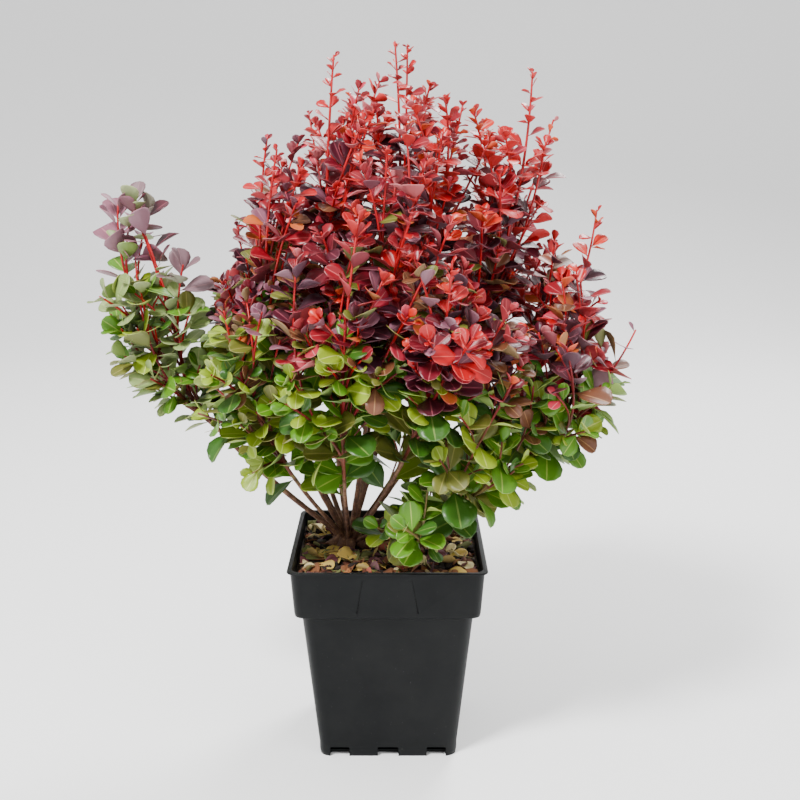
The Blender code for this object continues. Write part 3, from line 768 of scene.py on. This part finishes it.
def forks():
    """For each cane its rough leader and the (share, tip) of every shoot that forks from it."""
    leaders, branches, rough = [], [], []
    for cane, path in zip(CANES, cane_paths):
        length = lengths_along(path)[-1]
        leader = stretch(path, cane.bare + GAP / length, 1.0 - TIP_LEAF / 2 / length, LEADER_STEPS)
        standing = [(STANDING_FORK, polar(*place)) for place in STANDING_SHOOTS.get(cane.name, ())]
        leaders.append(leader)
        branches.append(standing)
        rough.append([leader] + [forked_shoot(leader, share, tip, SHOOT_STEPS) for share, tip in standing])
    bare_lines = []
    for cane, path in zip(CANES, cane_paths):
        for a, b in segments_of(stretch(path, 0.0, cane.bare, CANE_STEPS)):
            bare_lines.append((a, b, cane.girth))
    for index, cane in enumerate(CANES):
        turn = index * GOLDEN_ANGLE
        for number in range(cane.sides):
            others = list(bare_lines)
            for owner, shoots in enumerate(rough):
                for shoot in shoots:
                    if owner != index:
                        others += [(a, b, SHOOT_RADIUS) for a, b in segments_of(shoot)]
            share = SIDE_FIRST + (SIDE_LAST - SIDE_FIRST) * number / max(cane.sides, 1)
            for _ in range(SIDE_TRIES):
                turn += GOLDEN_ANGLE
                tip = side_tip(leaders[index], share, turn, SIDE_SPREAD)
                shoot = forked_shoot(leaders[index], share, tip, SHOOT_STEPS)
                if tip.z > MIX_TOP + SHORTEST_DROP and clear_of(shoot, others, SIDE_KEEP_OFF):
                    branches[index].append((share, tip))
                    rough[index].append(shoot)
                    break
    return branches, bare_lines


def in_box(point, margin):
    low, high = solids_box
    return all(low[i] + margin <= point[i] <= high[i] - margin for i in range(3))


Shoot = collections.namedtuple("Shoot", "path run radii order cane")


def new_shoot(path, root_radius, order, cane):
    run = lengths_along(path)
    radii = [root_radius + (TIP_RADIUS - root_radius) * length / run[-1] for length in run]
    return Shoot(path, run, radii, order, cane)


branches, bare_lines = forks()
shoots = []
for cane, curve, branch in zip(CANES, curves, branches):
    whole = bow_path(*curve, CANE_RINGS)
    short = LEADER_ENDS_SHORT / lengths_along(whole)[-1]
    leader = stretch(whole, cane.bare, 1.0 - short, LEADER_RINGS)
    shoots.append(new_shoot(leader, CANE_SLIM * cane_radius(cane, cane.bare), 0, cane))
    for share, tip in branch:
        path = forked_shoot(leader, share, tip, SHOOT_RINGS)
        shoots.append(new_shoot(path, SHOOT_RADIUS * 1.1, 1, cane))


def under_dome(point):
    """True inside the rounded masses that the unnamed shoots fill."""
    for x, y, height, radius in DOMES:
        share = math.hypot(point.x - x, point.y - y) / radius
        if share < 1 and LOWEST_TWIG < point.z < MIX_TOP + height * math.sqrt(1 - share * share):
            return True
    return False


def growing_points(shoot, step, spread, bare_end, chance):
    """Shares of a shoot's length at which it forks."""
    length = step * chance.uniform(0.4, 0.9)
    while length < shoot.run[-1] - bare_end:
        yield length / shoot.run[-1], spread * chance.uniform(0.6, 1.0)
        length += step * chance.uniform(0.75, 1.25)


def freest(leader, share, spread, tries, steps, upright, highest):
    """Of several bearings a golden angle apart, the fork whose tip has the most room, or None."""
    best, best_room = None, 0.0
    for _ in range(tries):
        tip = side_tip(leader, share, next(golden_turns), spread, upright)
        if not in_box(tip, TIP_INSIDE) or not under_dome(tip) or tip.z > MIX_TOP + highest:
            continue
        room = np.linalg.norm(np.array(occupied) - np.array(tip), axis=1).min()
        path = forked_shoot(leader, share, tip, steps)
        if room > best_room and clear_of(path[steps // 2:], bare_lines, TWIG_KEEP_OFF):
            best, best_room = path, room
    return best


chance = random.Random(SEED)
golden_turns = itertools.accumulate(itertools.repeat(GOLDEN_ANGLE))
occupied = [tuple(point) for shoot in shoots for point in shoot.path[::3]]
for order, step, reach, bare_end, rings, tries, root, upright, highest in GROWTHS:
    for shoot in [one for one in shoots if one.order < order]:
        for share, spread in growing_points(shoot, step[min(shoot.order, 1)], reach, bare_end, chance):
            path = freest(shoot.path, share, spread, tries, rings, upright, highest)
            if path:
                shoots.append(new_shoot(path, root, order, shoot.cane))
                occupied += [tuple(point) for point in path[2::2]]
for cane, curve in zip(CANES, curves):
    stem = stretch(bow_path(*curve, CANE_RINGS), cane.bare * LOW_TWIGS_FROM, cane.bare, TWIG_RINGS)
    whole = new_shoot(stem, SHOOT_RADIUS, 0, cane)
    for share, spread in growing_points(whole, LOW_TWIG_STEP, TWIG_REACH, 0.0, chance):
        path = freest(stem, share, spread, LOW_TWIG_TRIES, TWIG_RINGS, 0.0, LOW_TWIG_HIGHEST)
        if path:
            shoots.append(new_shoot(path, TWIG_RADIUS, 3, cane))
            occupied += [tuple(point) for point in path[2::2]]


def srgb(red, green, blue):
    """A colour read off the photograph, 0 to 255 a channel, as linear values."""
    return tuple((c / 12.92 if c <= 0.04045 else ((c + 0.055) / 1.055) ** 2.4)
                 for c in (red / 255, green / 255, blue / 255)) + (1.0,)


def smooth_skin(name, color, roughness, scale=700, depth=0.00012):
    """A plain tint with a fine uneven skin: noise moves its relief and its roughness a little."""
    made, tree, shader = new_finish(name)
    shader.inputs["Base Color"].default_value = srgb(*color)
    shader.inputs["Specular IOR Level"].default_value = 0.48
    grain = noise_node(tree, node(tree, "ShaderNodeTexCoord").outputs["Object"], scale, 2)
    spread = node(tree, "ShaderNodeMapRange")
    spread.inputs["To Min"].default_value = roughness - 0.08
    spread.inputs["To Max"].default_value = roughness + 0.08
    tree.links.new(grain.outputs["Fac"], spread.inputs["Value"])
    tree.links.new(spread.outputs["Result"], shader.inputs["Roughness"])
    add_relief(tree, shader, grain.outputs["Fac"], 0.4, depth)
    return made


def shoot_slot(height, to_tip):
    """Scarlet at the tips, crimson below, then russet, and olive on the low shaded shoots."""
    if height > 0.17 and to_tip < 0.060 + (height - 0.17) * 0.35:
        return 0
    if height > 0.13 and to_tip < 0.140:
        return 1
    return 2 if height > 0.075 else 3


stems = Growth()
for shoot in shoots:
    sides = (8, 6, 6, 5)[shoot.order]
    stems.limb(shoot.path, shoot.radii, sides)
    faces = (len(shoot.path) - 1) * sides
    base = len(stems.slots) - faces - 2 * sides
    for ring in range(len(shoot.path) - 1):
        kind = shoot_slot(shoot.path[ring].z - MIX_TOP, shoot.run[-1] - shoot.run[ring])
        for corner in range(sides):
            stems.slots[base + ring * sides + corner] = kind
    last_kind = shoot_slot(shoot.path[-1].z - MIX_TOP, 0.0)
    for face in range(base + faces, len(stems.slots)):
        stems.slots[face] = last_kind
stems.make(
    "young_shoots",
    [smooth_skin(*tint) for tint in SHOOT_TINTS],
    "bark",
    [f"foliage_{cane.name}" for cane in CANES],
)


# The leaves: thin, egg-shaped with the broad end out, on a short stalk, in tufts along the shoots. Each
# is one closed blade with a paler midrib, edge and underside, and each spray keeps to its own tints.
LEAF_THICKNESS = 0.00026
LEAF_WIDTHS = (0.62, 0.80)
NODE_STEP = 0.0125
NODE_STEP_AT_TIP = 0.0040
LEAF_ROWS = (
    (0.0, 0.05), (0.12, 0.11), (0.27, 0.46), (0.45, 0.82), (0.65, 1.0), (0.83, 0.89), (0.95, 0.52), (1.0, 0.0)
)
SMALL_ROWS = ((0.0, 0.07), (0.30, 0.52), (0.62, 1.0), (0.88, 0.72), (1.0, 0.0))
FINE_COLUMNS = (-1.0, -0.5, -0.055, 0.055, 0.5, 1.0)
SMALL_COLUMNS = (-1.0, 0.0, 1.0)
SMALL_LEAF = 0.0125
LEAF_INSIDE = 0.0022
AIRY_BELOW = 0.162
AIRY_RIGHT_OF = 0.118
CENTRE_CELL = 0.013
LEAF_ROOM = 0.36
FIRST_NODE = 0.0012
LAST_NODE = 0.004
STALK_OUT = 0.0006
BLADE_MIDDLE = 0.62
LITTER_CLEAR = 0.003
CANE_ROOM = 0.0042
SKIRT_FROM = 0.124
MIDDLE_FROM = 0.168
RED_FROM = 0.20
UPPER_FROM = 0.275
RIGHT_IS_REDDER = 0.040
PLUM_CANES = ("left_shoulder", "left_back", "left_rocket", "back_left")

LEAF_TINTS = {
    # name: upper side, underside, midrib and edge, roughness, share of the record's slot
    "scarlet": ((168, 3, 14), (188, 46, 46), (204, 70, 66), 0.37, "leaves_red"),
    "flame": ((190, 28, 8), (202, 78, 44), (214, 98, 62), 0.37, "leaves_red"),
    "crimson": ((126, 4, 22), (164, 54, 60), (184, 72, 76), 0.37, "leaves_red"),
    "rose": ((172, 38, 58), (184, 98, 102), (202, 118, 120), 0.40, "leaves_red"),
    "burgundy": ((98, 10, 26), (136, 60, 68), (156, 64, 72), 0.37, "leaves_red"),
    "plum": ((72, 20, 34), (118, 74, 86), (132, 62, 74), 0.37, "leaves_red"),
    "dark_plum": ((46, 14, 26), (92, 62, 74), (104, 50, 62), 0.37, "leaves_red"),
    "mauve": ((126, 76, 92), (146, 108, 120), (160, 104, 114), 0.50, "leaves_red"),
    "amber": ((180, 88, 34), (180, 120, 70), (190, 66, 50), 0.44, "leaves_red"),
    "dusk": ((112, 84, 90), (140, 136, 120), (132, 96, 100), 0.55, "leaves_red"),
    "bronze": ((98, 56, 32), (128, 104, 70), (146, 104, 66), 0.46, "leaves_green"),
    "olive": ((96, 98, 32), (126, 130, 78), (134, 128, 64), 0.46, "leaves_green"),
    "green": ((76, 122, 16), (122, 146, 74), (136, 160, 64), 0.38, "leaves_green"),
    "dark_green": ((46, 86, 18), (94, 118, 66), (100, 124, 54), 0.38, "leaves_green"),
    "lime": ((128, 150, 24), (150, 168, 78), (168, 180, 84), 0.44, "leaves_green"),
    "sage": ((128, 148, 84), (148, 158, 112), (154, 162, 106), 0.52, "leaves_green"),
}
ZONES = {
    "low": "green green dark_green dark_green lime lime olive",
    "skirt": "green green dark_green lime olive bronze green lime",
    "middle": "burgundy burgundy plum bronze dark_plum mauve mauve rose crimson crimson bronze plum "
              "olive amber",
    "upper": "burgundy crimson crimson plum scarlet scarlet rose dark_plum plum burgundy",
    "tips": "scarlet scarlet scarlet flame crimson crimson rose scarlet",
    "wing_low": "green sage dark_green lime green sage olive",
    "wing": "mauve dusk sage dusk plum mauve",
}


def blade(rows, columns):
    """A flat blade's grid: shares across and along for the upper and lower side, then all its faces."""
    across_shares, along_shares, faces, slots = [], [], [], []
    width = len(columns)
    middle = rows[1:-1]
    for level in range(2):
        base = level * (len(middle) * width + 2)
        across_shares.append(0.0)
        along_shares.append(rows[0][0])
        for share, half in middle:
            for column in columns:
                across_shares.append(column * half)
                along_shares.append(share)
        across_shares.append(0.0)
        along_shares.append(1.0)
        for row in range(len(middle) - 1):
            for column in range(width - 1):
                a = base + 1 + row * width + column
                quad = (a, a + 1, a + width + 1, a + width)
                faces.append(quad if level == 0 else quad[::-1])
                slots.append(2 if level == 0 and width == 6 and column == 2 else level)
        end = base + 1 + len(middle) * width
        for column in range(width - 1):
            first = (base, base + 2 + column, base + 1 + column)
            a = end - width + column
            final = (a, a + 1, end)
            faces.append(first if level == 0 else first[::-1])
            faces.append(final if level == 0 else final[::-1])
            kind = 2 if level == 0 and width == 6 and column == 2 else level
            slots += [kind, kind]
    count = len(middle) * width + 2
    for side, column in ((0, 0), (1, width - 1)):
        chain = [0] + [1 + row * width + column for row in range(len(middle))] + [count - 1]
        for a, b in zip(chain, chain[1:]):
            rim = (a, b, b + count, a + count) if side == 0 else (b, a, a + count, b + count)
            faces.append(rim)
            slots.append(2)
    lower = np.array([0.0] * count + [1.0] * count)
    return np.array(across_shares), np.array(along_shares), lower, faces, slots


FINE_BLADE = blade(LEAF_ROWS, FINE_COLUMNS)
SMALL_BLADE = blade(SMALL_ROWS, SMALL_COLUMNS)


def blade_points(root, along, face, length, width, cup, arch):
    """Places a blade: its edges lift by the cup, and its tip bends away by the arch."""
    grid = FINE_BLADE if length > SMALL_LEAF else SMALL_BLADE
    sideways, lengthways, lower, faces, slots = grid
    side = along.cross(face).normalized()
    x = sideways * (length * width / 2)
    y = lengthways * length
    z = cup * length * width * sideways**2 - arch * length * lengthways**2 - lower * LEAF_THICKNESS
    points = (
        np.array(root)[None, :]
        + np.outer(x, np.array(side))
        + np.outer(y, np.array(along))
        + np.outer(z, np.array(face))
    )
    return points, faces, slots


def zone_of(cane, order, height, to_tip, x):
    """Green low down, then plum and crimson, and scarlet on the young ends that stand in the sun."""
    height += RIGHT_IS_REDDER * min(max(x / 0.12, -0.6), 0.7)
    if cane.name == "left_wing":
        return "wing_low" if height < RED_FROM else "wing"
    red_end = 0.040 + (height - RED_FROM) * 0.25 if order < 2 else 0.004 + (height - RED_FROM) * 0.16
    if height > RED_FROM and to_tip < red_end:
        return "upper" if cane.name in PLUM_CANES else "tips"
    if height > UPPER_FROM:
        return "upper"
    if height > MIDDLE_FROM:
        return "middle"
    return "skirt" if height > SKIRT_FROM else "low"


def leaf_size(cane, order, height, to_tip):
    """Full-size leaves low down, smaller ones high up, and small ones crowding each tip."""
    full = 0.0320 - 0.0130 * min(max((height - 0.08) / 0.26, 0.0), 1.0)
    if cane.name == "left_wing":
        return 0.0250 * (0.62 + 0.38 * min(to_tip / 0.012, 1.0))
    young, growth = (0.26, 0.062) if order < 2 and height > RED_FROM else (0.42, 0.030)
    return full * (young + (1 - young) * min(to_tip / growth, 1.0))


kinds = {name: Growth() for name in LEAF_TINTS}
centres = collections.defaultdict(list)


def crowded(centre, length):
    """True if another blade's middle lies too close, so that the two would pass through each other."""
    key = tuple(int(math.floor(value / CENTRE_CELL)) for value in centre)
    for dx in (-1, 0, 1):
        for dy in (-1, 0, 1):
            for dz in (-1, 0, 1):
                for other in centres[(key[0] + dx, key[1] + dy, key[2] + dz)]:
                    if (other - centre).length < LEAF_ROOM * length:
                        return True
    centres[key].append(centre)
    return False


bare_starts = np.array([line[0] for line in bare_lines])
bare_ends = np.array([line[1] for line in bare_lines])
nodes = []
node_turn = 0.0
for number, shoot in enumerate(shoots):
    chance = random.Random(SEED * 1000 + number)
    total = shoot.run[-1]
    lift = chance.uniform(-0.022, 0.022)
    favourite = {name: chance.choice(words.split()) for name, words in ZONES.items()}
    to_tip = FIRST_NODE
    while to_tip < total - LAST_NODE:
        point, direction = at_length(shoot.path, shoot.run, total - to_tip)
        height = point.z - MIX_TOP
        node_turn += GOLDEN_ANGLE
        nodes.append((point, direction, node_turn, height, to_tip))
        size = leaf_size(shoot.cane, shoot.order, height, to_tip)
        young = to_tip < 0.012
        count = chance.choice((2, 2, 3)) if to_tip < 0.040 else chance.choice((1, 2, 3))
        if height < AIRY_BELOW or point.x > AIRY_RIGHT_OF or shoot.cane.name == "left_wing":
            count = chance.choice((1, 1, 2))
        one, other = across(direction)
        outward = Vector((point.x - CROWN.x, point.y - CROWN.y, 0))
        outward = outward.normalized() if outward.length > 0.001 else Vector((0, -1, 0))
        for leaf in range(count):
            angle = node_turn + (leaf - (count - 1) / 2) * math.radians(72) + chance.uniform(-0.3, 0.3)
            out = one * math.cos(angle) + other * math.sin(angle)
            spread = math.radians(chance.uniform(24, 50) if young else chance.uniform(42, 84))
            along = (direction * math.cos(spread) + out * math.sin(spread)).normalized()
            face = direction * math.sin(spread) - out * math.cos(spread)
            face = face * 0.8 + Vector((0, 0, 0.7)) + outward * 0.35
            face = (face - along * face.dot(along)).normalized()
            face = Quaternion(along, math.radians(chance.gauss(0, 20))) @ face
            length = size * chance.uniform(0.78, 1.10) * (1.0 if leaf == count // 2 else 0.88)
            width = chance.uniform(*LEAF_WIDTHS)
            root = point + out * STALK_OUT
            tip = root + along * length
            centre = root + along * (length * BLADE_MIDDLE)
            side = along.cross(face) * (length * width / 2)
            low = min(tip.z, centre.z)
            floor_level = RIM_TOP if height > 0.02 else MIX_TOP
            if (
                not all(in_box(place, LEAF_INSIDE) for place in (tip, centre - side, centre + side))
                or low < floor_level + LITTER_CLEAR
                or distances(np.array(centre), bare_starts, bare_ends).min() < CANE_ROOM
                or crowded(centre, length)
            ):
                continue
            zone = zone_of(shoot.cane, shoot.order, height + lift, to_tip, point.x)
            tint = favourite[zone] if chance.random() < 0.5 else chance.choice(ZONES[zone].split())
            points, faces, slots = blade_points(
                root, along, face, length, width, chance.uniform(0.02, 0.22), chance.uniform(-0.04, 0.22)
            )
            kinds[tint].add(points, faces, slots)
        to_tip += NODE_STEP_AT_TIP + (NODE_STEP - NODE_STEP_AT_TIP) * min(to_tip / 0.060, 1.0)

for name, (upper, under, pale, roughness, record_slot) in LEAF_TINTS.items():
    finishes = [
        smooth_skin(f"{name}_leaf", upper, roughness, 420, 0.00035),
        smooth_skin(f"{name}_underside", under, roughness + 0.15, 420, 0.00035),
        smooth_skin(f"{name}_rib", pale, roughness + 0.05, 420, 0.0002),
    ]
    if kinds[name].count:
        kinds[name].make(f"leaves_{name}", finishes, record_slot)


# The spines: one thin straw-coloured thorn under each tuft, part of the shoot's own wood.
SPINE_LENGTH = 0.0062
SPINE_RADIUS = 0.00028
SPINES_FROM = 0.030

spines = Growth()
for point, direction, angle, height, to_tip in nodes:
    if to_tip > SPINES_FROM:
        one, other = across(direction)
        out = one * math.cos(angle) + other * math.sin(angle)
        tip = point + (out * 0.9 + direction * 0.35) * SPINE_LENGTH
        radii = [SPINE_RADIUS, SPINE_RADIUS * 0.7, SPINE_RADIUS * 0.15]
        if in_box(tip, SPINE_RADIUS):
            spines.limb([point, point.lerp(tip, 0.5), tip], radii, 3)
spines.make("spines", [smooth_skin("spine_straw", (150, 92, 62), 0.5)], "bark")


# The litter: bark chips and dead leaves that lie loose on the mix.
CHIP_COUNT = 520
CHIP_TINTS = (
    # name, sRGB colour, roughness, how often
    ("chip_dark", (30, 18, 12), 0.9, 9),
    ("chip_brown", (84, 42, 24), 0.9, 7),
    ("chip_tan", (146, 92, 52), 0.88, 1.6),
    ("chip_cream", (196, 170, 124), 0.85, 0.2),
)
FALLEN_COUNT = 250
FALLEN_TINTS = (
    ("fallen_cream", (206, 188, 138), (190, 172, 128), 2.4),
    ("fallen_straw", (178, 148, 72), (166, 142, 84), 3),
    ("fallen_brown", (112, 66, 36), (132, 92, 58), 4),
    ("fallen_olive", (96, 98, 50), (124, 126, 84), 4.5),
    ("fallen_purple", (84, 36, 44), (120, 82, 86), 3.5),
    ("fallen_red", (140, 34, 28), (166, 88, 70), 0.8),
)
LITTER_HALF = 0.0690
LITTER_CORNER = 0.0075


def litter_place(chance):
    """A spot on the mix inside the pot and off the root crown."""
    while True:
        x = chance.uniform(-LITTER_HALF, LITTER_HALF)
        y = chance.uniform(-LITTER_HALF, LITTER_HALF)
        over_x = max(abs(x) - LITTER_HALF + LITTER_CORNER, 0)
        over_y = max(abs(y) - LITTER_HALF + LITTER_CORNER, 0)
        on_mix = math.hypot(over_x, over_y) < LITTER_CORNER
        if on_mix and math.hypot(x - CROWN.x, y - CROWN.y) > CROWN_FLARE * 0.8:
            return x, y


def deal(tints, chance):
    """A tint's number, each coming up as often as its last value says."""
    pick = chance.uniform(0, sum(tint[-1] for tint in tints))
    for number, tint in enumerate(tints):
        pick -= tint[-1]
        if pick <= 0:
            return number
    return len(tints) - 1


chance = random.Random(SEED + 7)
chips = Growth()
for _ in range(CHIP_COUNT):
    x, y = litter_place(chance)
    long = chance.uniform(0.003, 0.0085)
    wide = chance.uniform(0.002, 0.0045)
    thick = chance.uniform(0.0008, 0.0022)
    turn = Quaternion((0, 0, 1), chance.uniform(0, math.tau))
    turn = turn @ Quaternion((1, 0, 0), chance.gauss(0, 0.35))
    turn = turn @ Quaternion((0, 1, 0), chance.gauss(0, 0.30))
    middle = Vector((x, y, mix_height(x, y) + thick * 0.6 + 0.0006))
    corners = []
    for level in (-1, 1):
        for corner in range(6):
            angle = corner / 6 * math.tau + chance.uniform(-0.25, 0.25)
            stretch_by = chance.uniform(0.75, 1.0)
            local = Vector((
                math.cos(angle) * long * stretch_by, math.sin(angle) * wide * stretch_by,
                level * thick * chance.uniform(0.6, 1.0),
            ))
            spot = middle + turn @ local
            spot.x = max(min(spot.x, LITTER_HALF), -LITTER_HALF)
            spot.y = max(min(spot.y, LITTER_HALF), -LITTER_HALF)
            corners.append(spot)
    faces = [tuple(range(5, -1, -1)), tuple(range(6, 12))]
    faces += [(i, (i + 1) % 6, (i + 1) % 6 + 6, i + 6) for i in range(6)]
    chips.add(corners, faces, [deal(CHIP_TINTS, chance)] * len(faces))
chips.make("bark_chips", [
    smooth_skin(name, color, roughness, 500, 0.0012) for name, color, roughness, _ in CHIP_TINTS
], "potting_mix")

fallen = Growth()
for _ in range(FALLEN_COUNT):
    x, y = litter_place(chance)
    length = chance.uniform(0.013, 0.026)
    bearing = chance.uniform(0, math.tau)
    along = Vector((math.cos(bearing), math.sin(bearing), chance.gauss(0, 0.25))).normalized()
    face = Quaternion(along, chance.gauss(0, 0.5)) @ along.cross(Vector((-along.y, along.x, 0))).normalized()
    face = face if face.z > 0 or chance.random() < 0.3 else -face
    root = Vector((x, y, mix_height(x, y) + 0.0022)) - along * (length / 2)
    points, faces, slots = blade_points(
        root, along, face, length,
        chance.uniform(0.45, 0.62), chance.uniform(0.1, 0.5), chance.uniform(-0.2, 0.35),
    )
    points[:, 0] = np.clip(points[:, 0], -LITTER_HALF, LITTER_HALF)
    points[:, 1] = np.clip(points[:, 1], -LITTER_HALF, LITTER_HALF)
    tint = deal(FALLEN_TINTS, chance)
    fallen.add(points, faces, [tint * 2 + (1 if slot == 1 else 0) for slot in slots])
finishes = []
for name, upper, under, _ in FALLEN_TINTS:
    finishes.append(smooth_skin(name, upper, 0.75, 420, 0.0008))
    finishes.append(smooth_skin(f"{name}_underside", under, 0.8, 420, 0.0008))
fallen.make("fallen_leaves", finishes, "leaves_green")
